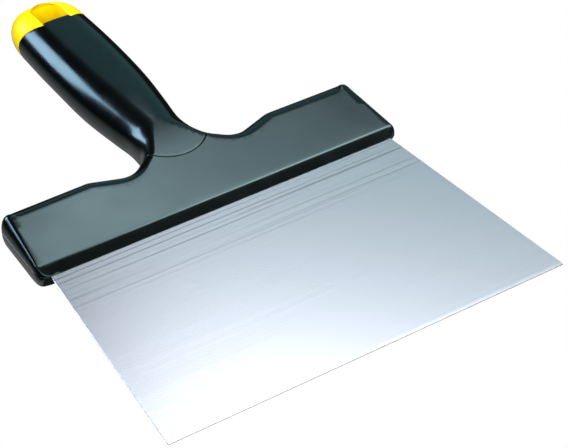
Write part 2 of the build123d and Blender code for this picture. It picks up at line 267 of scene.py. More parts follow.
def bottom_radius(points):
    """The same for the lower edge."""
    u = points[:, 1]
    head = np.interp(u, *LOWER_ON_HEAD)
    grip = LOWER_ON_GRIP + LOWER_MORE_ON_BELLY * smooth_step(*BELLY, u)
    grip += LOWER_MORE_ON_DOME * smooth_step(*DOME, u)
    return head + (grip - head) * smooth_step(*LOWER_HEAD_TO_GRIP, u)


def nearest(points, paths, radii=None):
    """Each point's distance from the nearest of some paths, and the radius there."""
    distance, radius = np.full(len(points), np.inf), np.zeros(len(points))
    for number, path in enumerate(paths):
        start, along = path[:-1], np.diff(path, axis=0)
        squared = np.maximum((along**2).sum(1), 1e-12)
        for low in range(0, len(points), BATCH):
            part = points[low : low + BATCH]
            t = np.clip(((part[:, None] - start) * along).sum(2) / squared, 0, 1)
            gap = np.linalg.norm(part[:, None] - start - t[..., None] * along, axis=2)
            k = gap.argmin(1)
            rows = np.arange(len(part))
            closer = gap[rows, k] < distance[low : low + len(part)]
            here = low + rows[closer]
            k, t, gap = k[closer], t[rows, k][closer], gap[rows, k][closer]
            distance[here] = gap
            if radii is not None:
                radius[here] = radii[number][k] + t * (radii[number][k + 1] - radii[number][k])
    return distance, radius


def rounding(distance, across, down):
    """How far a surface falls at this distance in from an edge rounded this far across and down."""
    t = 1 - np.clip(distance / across, 0, 1)
    return down * (1 - np.sqrt(np.clip(1 - t * t, 0, 1)))


def inward(path):
    """Unit normals to the left of a path, which runs anticlockwise round its piece."""
    along = np.gradient(path, axis=0)
    along /= np.linalg.norm(along, axis=1)[:, None]
    return np.stack([-along[:, 1], along[:, 0]], 1)


# Heights of the mouldings' upper and lower faces ------------------------------------------------------


def crown(points):
    """The grip's top and belly are a little higher along the middle than at the sides."""
    return CROWN * smooth_step(*CROWN_RISES, points[:, 1]) * (points[:, 0] / CROWN_HALF) ** 2


def seam_height(points):
    """The height at which upper and lower faces meet round the sides."""
    return SHELL_SEAM + (GRIP_SEAM - SHELL_SEAM) * smooth_step(*SEAM_DROPS, points[:, 1])


def top_plain(points):
    """The upper face before its edges are rounded: bevel at the lip, sloping panel, then the grip."""
    u = points[:, 1]
    slope = curve(*np.array(TOP_LINE, float).T, u) - crown(points)
    bevel = LIP_LAND + (BEVEL_TOP - LIP_LAND) / BEVEL_BACK * u
    return (slope + bevel - np.sqrt((slope - bevel) ** 2 + BEVEL_CREASE**2)) / 2


def bottom_plain(points):
    """The lower face before its edges are rounded: curved up at the lip, then flat, then the belly."""
    u = points[:, 1]
    flat = curve(*np.array(BOTTOM_LINE, float).T, u) + crown(points)
    lip = curve(*np.array(LOWER_LIP, float).T, np.minimum(u, LOWER_LIP_BACK))
    return np.where(u < LOWER_LIP_BACK, np.maximum(flat, lip), flat)


def face_height(points, free, joints, upper):
    """A moulding's height, with its free edges and then its joint edges rounded.

    free holds the paths along the outline, and joints the other edges as (path, radius).
    """
    plain = top_plain(points) if upper else bottom_plain(points)
    sign = 1 if upper else -1
    radius_at = top_radius if upper else bottom_radius
    distance, across = nearest(points, free, [radius_at(path) for path in free])
    room = np.abs(plain - seam_height(points))
    in_grip = smooth_step(*SIDES_ROUND_OUT, points[:, 1])
    in_head = np.minimum(MOST_DOWN_PER_ACROSS * across, np.maximum(room - WALL_LEFT, LEAST_DOWN))
    down = in_head * (1 - in_grip) + room * in_grip
    height = plain - sign * rounding(distance, across, down)
    for path, radius in joints:
        room = np.abs(height - seam_height(points))
        down = np.minimum(radius, JOINT_SHARE_OF_WALL * room)
        height -= sign * rounding(nearest(points, [path])[0], radius, down)
    return height


# Filling a plan and raising it into a closed mesh -----------------------------------------------------

EDGE = 0.4
FINE_EDGE = 0.15
FLAT_BESIDE_EDGE = 0.25
LEAST_GAP = 0.03
DOTS_REACH = 96
DOTS_OFF_CENTRE = 0.37
DOTS_OFF_EDGE = 0.4
DOTS_OFF_WALL = 0.8
WELD = 0.004
SLIVER = 0.001
SHARP_ABOVE = 34


def offset_loops(path, radii, steps):
    """Lines at the distances in from an edge that its rounding needs, where they don't fold back."""
    normals, lines = inward(path), []
    for angle in np.arange(1, steps + 1) / steps * math.pi / 2:
        gap = radii * (1 - math.cos(angle))
        line = path + normals * gap[:, None]
        lines += runs_where(line, nearest(line, [path])[0] > gap - LEAST_GAP)
    return lines


def edge_loops(path, radius):
    """Lines for a fine rounding, and one more beside it which keeps the face behind it flat."""
    beside = path + inward(path) * (radius + FLAT_BESIDE_EDGE)
    return [*offset_loops(path, np.full(len(path), radius), 2), beside]


def runs_where(line, good):
    """The unbroken runs of a line's points that are good."""
    runs, run = [], []
    for point, keep in zip(line, good):
        if keep:
            run.append(point)
        elif run:
            runs.append(np.array(run))
            run = []
    return runs + [np.array(run)] if run else runs


def clear_of(lines, walls, gap):
    """The parts of some lines that stay more than gap from every wall."""
    return [run for line in lines for run in runs_where(line, nearest(line, walls)[0] > gap)]


def fill(boundary, lines, dots):
    """Triangles inside a boundary, through lines and dots. The boundary's points come first."""
    points = [Vector(p) for p in boundary]
    edges = [(k, (k + 1) % len(boundary)) for k in range(len(boundary))]
    closed = np.concatenate([boundary, boundary[:1]])
    clear = [run for line in lines for run in runs_where(line, inside(line, boundary))]
    for line in clear_of(clear, [closed], LEAST_GAP):
        base = len(points)
        points += [Vector(p) for p in line]
        edges += [(base + k, base + k + 1) for k in range(len(line) - 1)]
    points += [Vector(p) for p in dots]
    found, _, triangles, origin, _, _ = delaunay_2d_cdt(points, edges, [], 1, 1e-5)
    order = {}
    for k, sources in enumerate(origin):
        for source in sources:
            if source < len(boundary):
                order[source] = k
    first = [order[k] for k in range(len(boundary))]
    taken = set(first)
    rest = [k for k in range(len(found)) if k not in taken]
    place = {was: now for now, was in enumerate(first + rest)}
    plan = np.array([found[k] for k in first + rest], float)
    return plan, [[place[k] for k in triangle] for triangle in triangles]


def inside(points, boundary):
    """Which points lie inside a closed boundary."""
    x, y = points[:, :1], points[:, 1:]
    ax, ay = boundary[:, 0], boundary[:, 1]
    bx, by = np.roll(ax, -1), np.roll(ay, -1)
    crosses = (ay > y) != (by > y)
    rise = np.where(by == ay, 1e-9, by - ay)
    return (crosses & (x < (bx - ax) * (y - ay) / rise + ax)).sum(1) % 2 == 1


def dots_inside(boundary, x_step, rows, edges, radii, walls):
    """Rows of dots inside a boundary, off its rounded edges and a little off its walls."""
    xs = np.arange(-DOTS_REACH, DOTS_REACH + 0.1, x_step)
    dots = np.array([(x + DOTS_OFF_CENTRE, u) for u in rows for x in xs])
    dots = dots[inside(dots, boundary)]
    gap, radius = nearest(dots, edges, radii)
    return dots[(gap > radius + DOTS_OFF_EDGE) & (nearest(dots, walls)[0] > DOTS_OFF_WALL)]


def to_world(plan, height):
    """Millimetres from the lip and blade to metres in the shared frame."""
    plan, height = np.asarray(plan), np.asarray(height)
    return np.column_stack([plan[:, 0] * MM, LIP_Y + plan[:, 1] * MM, BLADE_Z + height * MM])


def new_piece(name, vertices, faces):
    """A smooth-shaded object from vertices and faces, welded and with its normals outward."""
    mesh = bpy.data.meshes.new(name)
    mesh.from_pydata([tuple(v) for v in vertices], [], [tuple(f) for f in faces])
    bm = bmesh.new()
    bm.from_mesh(mesh)
    bmesh.ops.remove_doubles(bm, verts=bm.verts, dist=WELD * MM)
    bmesh.ops.dissolve_degenerate(bm, edges=bm.edges, dist=SLIVER * MM)
    bmesh.ops.recalc_face_normals(bm, faces=bm.faces)
    for face in bm.faces:
        face.smooth = True
    for edge in bm.edges:
        edge.smooth = len(edge.link_faces) != 2 or edge.calc_face_angle(0) < math.radians(SHARP_ABOVE)
    bm.to_mesh(mesh)
    bm.free()
    piece = bpy.data.objects.new(name, mesh)
    bpy.context.scene.collection.objects.link(piece)
    return piece


def moulding(name, boundary, upper, lower, rings):
    """A closed piece: an upper and a lower face over one boundary, and rings of points down its walls.

    upper and lower are each (lines, dots, height function). rings(top, bottom) takes the heights round
    the boundary and gives the wall's rings as (plan, height). The first and last are the faces' rims.
    """
    count = len(boundary)
    (plan_a, tri_a), (plan_b, tri_b) = fill(boundary, *upper[:2]), fill(boundary, *lower[:2])
    height_a, height_b = upper[2](plan_a), lower[2](plan_b)
    walls = rings(height_a[:count], height_b[:count])
    plan_a[:count], height_a[:count] = walls[0]
    plan_b[:count], height_b[:count] = walls[-1]
    vertices = [to_world(plan_a, height_a), to_world(plan_b, height_b)]
    faces = [list(t) for t in tri_a] + [[k + len(plan_a) for k in reversed(t)] for t in tri_b]
    start = len(plan_a) + len(plan_b)
    indices = [list(range(count))]
    for plan, height in walls[1:-1]:
        vertices.append(to_world(plan, height))
        indices.append(list(range(start, start + count)))
        start += count
    indices.append([len(plan_a) + k for k in range(count)])
    for high, low in zip(indices, indices[1:]):
        for k in range(count):
            after = (k + 1) % count
            faces.append([high[k], low[k], low[after], high[after]])
    return new_piece(name, np.concatenate(vertices), faces)


# Head: an upper and a lower shell, with the blade's heel held between them ----------------------------


# The space for the heel ends over these distances, past the blade's sides and from the lip.
POCKET_PLAY = 0.02
POCKET_SIDE = (0.15, 0.5)
POCKET_BACK = (29, 30)

# The joint's step, the shells' walls with their seam groove, and the screw holes.
JOINT_STEP = 0.45
SEAM_GROOVE = 0.16
SEAM_GROOVE_AT_LIP = 0.02
LEAST_WALL = 0.04
WALL_ROWS = (0.25, 0.5, 0.75, 1.0)
LOOPS_OFF_WALL = 0.12
SCREW_XS = (-72.0, -28.0, 28.0, 72.0)
SCREW_FROM_LIP = 21.0
SCREW_HOLE = 3.6
SCREW_DEPTH = 3.4
SCREW_RIM = 0.5

# Rows of dots behind the lip, closest where the bevel turns into the panel.
BEVEL_ROWS = (0.9, 1.9, 2.8, 3.5, 4.0, 4.3, 4.6, 4.85, 5.1, 5.35, 5.6, 5.9, 6.3, 7.0, 8.5)


def joint_arc(radius):
    """The curved joint in plan, from right to left, and the outline's first point past it."""
    spokes = np.linalg.norm(RIGHT - (0, JOINT_CENTRE), axis=1)
    k = next(i for i in range(len(RIGHT)) if RIGHT[i, 1] > 30 and spokes[i] < radius)
    t = (spokes[k - 1] - radius) / (spokes[k - 1] - spokes[k])
    meet = RIGHT[k - 1] + t * (RIGHT[k] - RIGHT[k - 1])
    half_angle = math.atan2(meet[0], JOINT_CENTRE - meet[1])
    angles = np.linspace(half_angle, -half_angle, round(2 * half_angle * radius / JOINT_STEP) + 1)
    return k, np.array([(radius * math.sin(a), JOINT_CENTRE - radius * math.cos(a)) for a in angles])


def pocket(plan):
    """Half the depth of the space between the shells, where the blade's heel lies."""
    x, u = np.abs(plan[:, 0]), plan[:, 1]
    near, far = POCKET_SIDE
    across = 1 - smooth_step(BLADE_LIP_HALF + near, BLADE_LIP_HALF + far, x)
    return (BLADE_HALF_THICK + POCKET_PLAY) * across * (1 - smooth_step(*POCKET_BACK, u))


def screw_distance(plan):
    """How far each point is from the nearest screw's axis."""
    return np.min([np.linalg.norm(plan - (x, SCREW_FROM_LIP), axis=1) for x in SCREW_XS], axis=0)


def screw_rings():
    """Circles for the walls and rims of the screw holes."""
    rims = [SCREW_HOLE + SCREW_RIM * (1 - math.cos(math.radians(angle))) for angle in (30, 60, 90)]
    turn = np.linspace(0, 2 * math.pi, 37)
    circle = np.column_stack([np.cos(turn), np.sin(turn)])
    radii = (2.0, SCREW_HOLE - 0.03, SCREW_HOLE, *rims)
    return [circle * radius + (x, SCREW_FROM_LIP) for x in SCREW_XS for radius in radii]


def with_screw_holes(plan, height):
    """The lower face with its counterbored screw holes."""
    gap = screw_distance(plan) - SCREW_HOLE
    rim = height + rounding(np.maximum(gap, 0), SCREW_RIM, SCREW_RIM)
    return np.where(gap < -0.015, HEAD_BOTTOM + SCREW_DEPTH, rim)


def make_head():
    """The head's two shells, which have one outline and meet at the seam."""
    k, arc = joint_arc(JOINT_RADIUS + JOINT_GAP)
    right = RIGHT[:k]
    boundary = np.concatenate([right, arc, (right[1:] * MIRROR)[::-1]])
    corner_x, _, corner_radius = HEAD_CORNERS[1]
    front = np.argmax(right[:, 0] > corner_x - corner_radius - 0.3)
    sides = [np.concatenate([right[front:], arc[:1]])]
    sides.append((sides[0] * MIRROR)[::-1])
    inset = boundary + SEAM_GROOVE * inward(boundary)
    at_lip = (boundary[:, 1] < 0.01) & (np.abs(boundary[:, 0]) < BLADE_LIP_HALF)
    inset[at_lip] = boundary[at_lip]

    def rings(sign):
        """The wall's rings for the upper shell (1) or the lower one (-1)."""
        def build(top, bottom):
            """An upright wall from the shell's face to its seam, which has a fine groove."""
            face, seam = (top, bottom) if sign > 0 else (bottom, top)
            mouth = seam + sign * np.where(at_lip, SEAM_GROOVE_AT_LIP, SEAM_GROOVE)
            mouth = np.where(sign * (face - mouth) > LEAST_WALL, mouth, (face + seam) / 2)
            found = [(boundary, face)]
            found += [(boundary, face + (mouth - face) * t) for t in WALL_ROWS]
            found.append((inset, seam))
            return found if sign > 0 else found[::-1]
        return build

    def shell(name, upper, rows):
        """One shell, whose seam face has the pocket for the heel."""
        sign = 1 if upper else -1
        radius_at = top_radius if upper else bottom_radius
        radii = [radius_at(path) for path in sides]
        lines = [line for path, radius in zip(sides, radii) for line in offset_loops(path, radius, 10)]
        lines = clear_of(lines, [arc], LOOPS_OFF_WALL)
        lines += clear_of(edge_loops(arc, FINE_EDGE), sides, LOOPS_OFF_WALL)
        holes = [] if upper else screw_rings()
        dots = dots_inside(boundary, 3.0, rows, sides, radii, [arc, *holes])
        if holes:
            lines += holes
            dots = dots[screw_distance(dots) > SCREW_HOLE]

        def height(plan):
            found = face_height(plan, sides, [(arc, FINE_EDGE)], upper)
            return found if upper else with_screw_holes(plan, found)

        pocket_lines = [
            np.array([(side * (BLADE_LIP_HALF + step), u) for u in np.arange(1.5, 30.5, 1.5)])
            for side in (-1, 1) for step in POCKET_SIDE
        ]
        pocket_lines += [np.array([(x, u) for x in np.arange(-88, 88.1, 4)]) for u in POCKET_BACK]
        no_radii = [np.zeros(len(path)) for path in sides]
        seam_rows = np.arange(3, 54, 4.0)
        seam_dots = dots_inside(boundary, 4.0, seam_rows, sides, no_radii, [arc, *pocket_lines])
        seam = (pocket_lines, seam_dots, lambda plan: sign * pocket(plan))
        face = (lines, dots, height)
        return moulding(name, boundary, *((face, seam) if upper else (seam, face)), rings(sign))

    lip_rows = np.arange(0.5, 13, 0.6)
    return (
        shell("head_top_shell", True, np.concatenate([BEVEL_ROWS, np.arange(10.5, 54, 2.0)])),
        shell("head_bottom_shell", False, np.concatenate([lip_rows, np.arange(14.5, 54, 2.2)])),
    )


# Grip and end cap, which meet on a part of a cylinder that lies across the knife ----------------------

CAP_ROWS = 14
CAP_CURVE_REACH = 11.0
CAP_CURVE_POINTS = 21
CAP_CURVE_ROUNDS = 40
SLOT_RIM = 1.3
OUTLINE_GAP = 0.3
LOOPS_OFF_END = 0.15
SIDE_RIGHT = RIGHT[(RIGHT[:, 1] > 60) & (RIGHT[:, 1] < 175)]
PLAIN_WALL = math.nan


def cap_curve(radius, inner_x):
    """Where the grip and cap meet on the upper face, on the right, from the outline in to inner_x."""
    inward_steps = CAP_CURVE_REACH * (1 - np.cos(np.radians(np.linspace(0, 90, CAP_CURVE_POINTS))))
    u = np.full(len(inward_steps), CAP_CENTRE + radius)
    for _ in range(CAP_CURVE_ROUNDS):
        x = np.interp(u, SIDE_RIGHT[:, 1], SIDE_RIGHT[:, 0]) - inward_steps
        height = face_height(np.column_stack([x, u]), [SIDE_RIGHT, SIDE_RIGHT * MIRROR], [], True)
        rise = np.clip(height - GRIP_SEAM - EDGE, 0, radius)
        rise[0] = 0
        u = 0.5 * u + 0.5 * (CAP_CENTRE + np.sqrt(radius**2 - rise**2))
    found = np.column_stack([x, u])
    return np.concatenate([found, spaced(found[-1], (inner_x, u[-1]), 0.7)[1:], [(inner_x, u[-1])]])


def end_rings(boundary, blend, far_u, radius, crossing=None):
    """Rings down the walls of the grip's or the cap's end.

    blend is 0 where the wall is the curved joint, 1 where it is upright, between them on the flat side
    walls that reach from the joint to far_u, and PLAIN_WALL round the rest. crossing is the joint's angle
    where a side wall has no width, so that a ring passes exactly through it.
    """
    plain = np.isnan(blend)

    def build(top, bottom):
        middle, rise = (top + bottom) / 2, np.clip((top - bottom) / 2, 0, radius)
        start = np.arcsin(rise / radius)
        corner = start[blend == 0].max()
        steps = np.linspace(1, -1, CAP_ROWS + 1)
        if crossing:
            for sign in (1, -1):
                steps[np.abs(steps - sign * crossing / corner).argmin()] = sign * crossing / corner
        found = [(boundary, top)]
        for step in steps[1:-1]:
            angle = np.where(blend > 0, corner, start) * step
            curve_u = CAP_CENTRE + radius * np.cos(angle)
            u = np.where(blend < 1, curve_u + np.where(plain, 0, blend) * (far_u - curve_u), boundary[:, 1])
            height = np.where(plain, middle + rise * step, middle + radius * np.sin(angle))
            found.append((np.column_stack([boundary[:, 0], u]), height))
        return [*found, (boundary, bottom)]
    return build


def both_sides(boundary, free, joints, x_step, rows):
    """The upper and lower faces of a grip or cap, whose edges are the same seen from above and below."""
    faces, walls = [], [path for path, _ in joints]
    for upper in (True, False):
        radii = [(top_radius if upper else bottom_radius)(path) for path in free]
        lines = [line for path, radius in zip(free, radii) for line in offset_loops(path, radius, 11)]
        lines = clear_of(lines, walls, LOOPS_OFF_END)
        for path, radius in joints:
            others = [wall for wall in walls if wall is not path]
            loops = offset_loops(path, np.full(len(path), radius), 3 if radius == EDGE else 5)
            lines += clear_of(clear_of(loops, free, LOOPS_OFF_END), others, LOOPS_OFF_WALL)
        dots = dots_inside(boundary, x_step, rows, free, radii, walls)
        faces.append((lines, dots, lambda plan, upper=upper: face_height(plan, free, joints, upper)))
    return faces


def make_grip():
    """The black grip, from the joint behind the head to the cap, whose slot its tongue reaches into."""
    k, arc = joint_arc(JOINT_RADIUS)
    curve_right = cap_curve(CAP_RADIUS, HANG_HALF)
    side = RIGHT[(np.arange(len(RIGHT)) >= k) & (RIGHT[:, 1] < curve_right[0, 1] - OUTLINE_GAP)]
    side = np.concatenate([arc[:1], side, curve_right[:1]])
    corner, far_corner = (HANG_HALF, HANG_FRONT), (-HANG_HALF, HANG_FRONT)
    wall = np.array([*spaced(curve_right[-1], corner, 0.5), corner])
    front = np.array([*spaced(corner, far_corner, 0.8), far_corner])
    left_wall, left_curve, left_side = ((path * MIRROR)[::-1] for path in (wall, curve_right, side))
    end = np.concatenate([curve_right[:-1], wall[:-1], front, left_wall[1:], left_curve[1:]])
    boundary = np.concatenate([side[:-1], end, left_side[1:-1], arc[::-1][:-1]])
    fractions = np.linspace(0, 1, len(wall))
    blend = np.concatenate([
        np.full(len(side) - 1, PLAIN_WALL), np.zeros(len(curve_right) - 1), fractions[:-1],
        np.ones(len(front)), fractions[::-1][1:], np.zeros(len(curve_right) - 1),
        np.full(len(side) - 2 + len(arc) - 1, PLAIN_WALL),
    ])
    joints = [(arc[::-1], EDGE), (end, EDGE)]
    rows = np.concatenate([np.arange(33, 150, 1.8), np.arange(150, 163, 1.2)])
    crossing = math.acos((HANG_FRONT - CAP_CENTRE) / CAP_RADIUS)
    rings = end_rings(boundary, blend, HANG_FRONT, CAP_RADIUS, crossing)
    faces = both_sides(boundary, [side, left_side], joints, 1.9, rows)
    return moulding("grip_moulding", boundary, *faces, rings)


def make_cap():
    """The yellow cap: a dome with a curved front, and a round-ended slot that is open towards the grip."""
    radius, half = CAP_RADIUS + CAP_GAP, HANG_HALF + CAP_GAP
    curve_right = cap_curve(radius, half)
    dome = RIGHT[RIGHT[:, 1] > curve_right[0, 1] + OUTLINE_GAP]
    outer = np.concatenate([curve_right[:1], dome, (dome[:-1] * MIRROR)[::-1], curve_right[:1] * MIRROR])
    wall = np.array([*spaced((half, HANG_CENTRE), curve_right[-1], 0.8), curve_right[-1]])
    turn = np.radians(np.linspace(180, 0, 33))
    bow = np.column_stack([half * np.cos(turn), HANG_CENTRE + half * np.sin(turn)])
    left_curve, left_wall = curve_right * MIRROR, (wall * MIRROR)[::-1]
    boundary = np.concatenate([
        outer, left_curve[1:], left_wall[1:-1], bow, wall[1:], curve_right[::-1][1:-1],
    ])
    fractions = np.linspace(1, 0, len(wall))
    blend = np.concatenate([
        np.full(len(outer), PLAIN_WALL), np.zeros(len(left_curve) - 1), fractions[::-1][1:-1],
        np.ones(len(bow)), fractions[1:], np.zeros(len(curve_right) - 2),
    ])
    slot = np.concatenate([left_wall[:-1], bow, wall[1:]])
    joints = [(left_curve, EDGE), (curve_right[::-1], EDGE), (slot, SLOT_RIM)]
    rings = end_rings(boundary, blend, HANG_CENTRE, radius)
    faces = both_sides(boundary, [outer], joints, 1.5, np.arange(155, 183, 1.5))
    return moulding("end_cap_moulding", boundary, *faces, rings)


# Blade: one flexible sheet of spring steel, held in the head and reaching out in front of it ----------


# The blade's mesh, its rounded corners, and half its thickness at the ground edge and just behind it.
HEEL_STEP = 3.0
NECK_ROW = 1.0
FREE_ROWS = 62
EDGE_ROWS = (1.3, 0.7, 0.3, 0.1, 0.0)
EDGE_START = 2.0
COLUMNS = 25
CHAMFER = 0.12
CHAMFER_SHARE = 0.6
CORNER_CUT = 0.5
CORNER_REACH = 0.7
CORNER_POWER = 1.5
GROUND_OVER = (0.1, 1.3)
EDGE_HALF_THICK = (0.21, 0.22)


def make_blade():
    """The blade from its heel to its ground edge, in rows across the knife."""
    tip = -BLADE_LENGTH
    inside_head = np.arange(HEEL_DEPTH, NECK_ROW + 0.1, -HEEL_STEP)
    bending = np.linspace(0.0, tip + EDGE_START, FREE_ROWS)
    rows = np.concatenate([inside_head, [NECK_ROW], bending, tip + np.array(EDGE_ROWS)])
    widths = (BLADE_EDGE_HALF, BLADE_LIP_HALF, HEEL_HALF, HEEL_HALF)
    half = np.interp(rows, (tip, 0.0, NECK_ROW, HEEL_DEPTH), widths)
    half -= np.interp(rows, (tip, tip + CORNER_REACH), (CORNER_CUT, 0.0)) ** CORNER_POWER
    ground = (tip, *(tip + distance for distance in GROUND_OVER))
    thick = np.interp(rows, ground, (*EDGE_HALF_THICK, BLADE_HALF_THICK))
    across = np.linspace(-1, 1, COLUMNS)
    vertices, faces = [], []
    for u, x_end, h in zip(rows, half, thick):
        low = h - min(CHAMFER, CHAMFER_SHARE * h)
        xs = [-x_end, *(across * (x_end - CHAMFER)), x_end]
        profile = [(x, h if 0 < k < len(xs) - 1 else low) for k, x in enumerate(xs)]
        profile += [(x, -z) for x, z in profile[::-1]]
        vertices += [(x, u, z) for x, z in profile]
    ring = len(profile)
    for row in range(len(rows) - 1):
        for k in range(ring):
            a, b = row * ring + k, row * ring + (k + 1) % ring
            faces.append([a, b, b + ring, a + ring])
    for base, flip in ((0, False), ((len(rows) - 1) * ring, True)):
        for k in range(ring // 2 - 1):
            quad = [base + k, base + k + 1, base + ring - 2 - k, base + ring - 1 - k]
            faces.append(quad if flip else quad[::-1])
    vertices = np.array(vertices)
    return new_piece("blade_sheet", to_world(vertices[:, :2], vertices[:, 2]), faces)


# Materials --------------------------------------------------------------------------------------------

# Noise features a metre, and depths of bumps in metres.
MARKS = 70
GRAIN = 1400
WAVES = 32
GRAIN_DEPTH = 0.000006
WAVE_DEPTH = 0.00012

# A mix node has sockets of the same name for each kind of value. These are its colour ones.
MIX_FIRST, MIX_SECOND, MIX_RESULT = 6, 7, 2

BLACK = (0.0012, 0.0015, 0.0018)
BLACK_SHINE = (0.6, 0.96, 0.98)


class Nodes:
    """Short calls for building one material's nodes."""

    def __init__(self, name):
        self.material = bpy.data.materials.new(name)
        self.material.use_nodes = True
        self.tree = self.material.node_tree
        self.shader = self.tree.nodes["Principled BSDF"]
        self.place = self.add("ShaderNodeTexCoord").outputs["Object"]

    def add(self, kind, **settings):
        """A new node with some of its settings changed."""
        node = self.tree.nodes.new(kind)
        for name, value in settings.items():
            setattr(node, name, value)
        return node

    def put(self, value, socket):
        """Links an output to a socket, or sets the socket's own value."""
        if isinstance(value, bpy.types.NodeSocket):
            self.tree.links.new(value, socket)
        else:
            socket.default_value = value

    def set(self, **values):
        """Sets or links the shader's own sockets."""
        for name, value in values.items():
            self.put(value, self.shader.inputs[name.replace("_", " ")])

    def noise(self, scale, stretch=(1, 1, 1), detail=2.0, roughness=0.5, distortion=0.0):
        """Noise of so many features a metre, stretched along the axes."""
        mapping = self.add("ShaderNodeMapping")
        self.put(self.place, mapping.inputs["Vector"])
        mapping.inputs["Scale"].default_value = stretch
        noise = self.add("ShaderNodeTexNoise")
        self.put(mapping.outputs[0], noise.inputs["Vector"])
        values = {"Scale": scale, "Detail": detail, "Roughness": roughness, "Distortion": distortion}
        for name, value in values.items():
            noise.inputs[name].default_value = value
        return noise.outputs["Fac"]

    def ramp(self, value, *stops):
        """Maps a number to another through (position, number) stops."""
        node = self.add("ShaderNodeValToRGB")
        self.put(value, node.inputs[0])
        while len(node.color_ramp.elements) < len(stops):
            node.color_ramp.elements.new(0.5)
        for element, (position, level) in zip(node.color_ramp.elements, stops):
            element.position = position
            element.color = (level, level, level, 1)
        return node.outputs[0]

    def times(self, first, second):
        """The product of two numbers."""
        node = self.add("ShaderNodeMath", operation="MULTIPLY")
        self.put(first, node.inputs[0])
        self.put(second, node.inputs[1])
        return node.outputs[0]

    def mix(self, amount, first, second):
        """A colour between two, by an amount from 0 to 1."""
        node = self.add("ShaderNodeMix", data_type="RGBA")
        self.put(amount, node.inputs["Factor"])
        self.put(first, node.inputs[MIX_FIRST])
        self.put(second, node.inputs[MIX_SECOND])
        return node.outputs[MIX_RESULT]

    def bump(self, height, distance, after=None):
        """Bump of so many metres for a height of 0 to 1."""
        node = self.add("ShaderNodeBump")
        self.put(height, node.inputs["Height"])
        node.inputs["Distance"].default_value = distance
        if after:
            self.put(after, node.inputs["Normal"])
        return node.outputs[0]


def shade(colour, level=1.0):
    """A colour made darker or lighter, with its alpha."""
    return (*(level * c for c in colour), 1)


def plastic(name, colour, roughness, tint=(1, 1, 1), shine=0.5):
    """Moulded plastic: slightly wavy as moulded, with a fine grain and faint handling marks."""
    n = Nodes(name)
    marks = n.noise(MARKS, detail=4, roughness=0.6)
    fine = n.noise(GRAIN, detail=2)
    wave = n.noise(WAVES, detail=1.0)
    n.set(Base_Color=n.mix(n.ramp(marks, (0.35, 0.0), (0.65, 1.0)), shade(colour, 0.85), shade(colour)))
    n.set(Roughness=n.ramp(marks, (0.3, roughness * 0.85), (0.7, roughness * 1.2)))
    n.set(Normal=n.bump(fine, GRAIN_DEPTH, after=n.bump(wave, WAVE_DEPTH)))
    n.set(Specular_Tint=shade(tint), Specular_IOR_Level=shine)
    return n.material


def steel(name, colour, roughness, grinding=None):
    """Steel brushed along X. grinding is a range of Y over which darker grinding lines set in."""
    n = Nodes(name)
    brushed = n.noise(1, (4, 420, 1), 1, 0.5)
    base = n.mix(n.ramp(brushed, (0.1, 0.0), (0.9, 1.0)), shade(colour, 0.95), shade(colour, 1.05))
    if grinding:
        lines = n.noise(1, (3.5, 760, 1), 1.5, 0.55, 0.4)
        axes = n.add("ShaderNodeSeparateXYZ")
        n.put(n.place, axes.inputs[0])
        reach = n.add("ShaderNodeMapRange")
        n.put(axes.outputs["Y"], reach.inputs["Value"])
        for socket, value in zip(("From Min", "From Max"), grinding):
            reach.inputs[socket].default_value = value
        line = n.times(n.ramp(lines, (0.57, 0.0), (0.67, 1.0)), reach.outputs["Result"])
        base = n.mix(line, base, shade(colour, 0.55))
    n.set(Base_Color=base)
    n.set(Roughness=roughness)
    n.set(Metallic=1.0)
    return n.material


def floor_material():
    """Plain white, whatever the light. The floor neither lights the knife nor shows in it."""
    material = bpy.data.materials.new("floor_white")
    material.use_nodes = True
    tree = material.node_tree
    tree.nodes.clear()
    emitter, output = tree.nodes.new("ShaderNodeEmission"), tree.nodes.new("ShaderNodeOutputMaterial")
    tree.links.new(emitter.outputs[0], output.inputs["Surface"])
    return material


MATERIALS = {
    "head_plastic": plastic("head_plastic", BLACK, 0.145, BLACK_SHINE),
    "grip_plastic": plastic("grip_plastic", BLACK, 0.18, BLACK_SHINE),
    "cap_plastic": plastic("cap_plastic", (0.98, 0.71, 0.003), 0.34, shine=0.15),
    "core_plastic": plastic("core_plastic", (0.05, 0.05, 0.05), 0.5),
    "blade_steel": steel(
        "blade_steel", (0.58, 0.575, 0.61), 0.265, grinding=(LIP_Y - 34 * MM, LIP_Y - 4 * MM),
    ),
    "screw_steel": steel("screw_steel", (0.55, 0.56, 0.58), 0.35),
    "tang_steel": steel("tang_steel", (0.6, 0.61, 0.62), 0.4),
}


# Putting it together ----------------------------------------------------------------------------------


def finish_piece(piece, body, slot, *nodes):
    """Gives a piece its material, parents it to the body it moves with if there is one, and hides the CAD
    nodes it stands for.
    """
    piece.data.materials.append(MATERIALS[slot])
    if body:
        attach(piece, body)
    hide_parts(*nodes)


head_top, head_bottom = make_head()
finish_piece(head_top, "handle", "head_plastic", "head_top")
finish_piece(head_bottom, "handle", "head_plastic", "head_bottom")
finish_piece(make_grip(), "handle", "grip_plastic", "handle_grip")
finish_piece(make_cap(), "handle", "cap_plastic", "end_cap")
blade = make_blade()
finish_piece(blade, None, "blade_steel", "blade", "blade_heel")
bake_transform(blade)

CARRIED = {
    "head_screws": "screw_steel", "tang": "tang_steel", "tang_rivets": "tang_steel",
    "handle_core": "core_plastic", "core_pin": "tang_steel",
}
for node, slot in CARRIED.items():
    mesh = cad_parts[node].data
    mesh.materials.clear()
    mesh.materials.append(MATERIALS[slot])

# Floor, lights, camera and surroundings, in metres ----------------------------------------------------

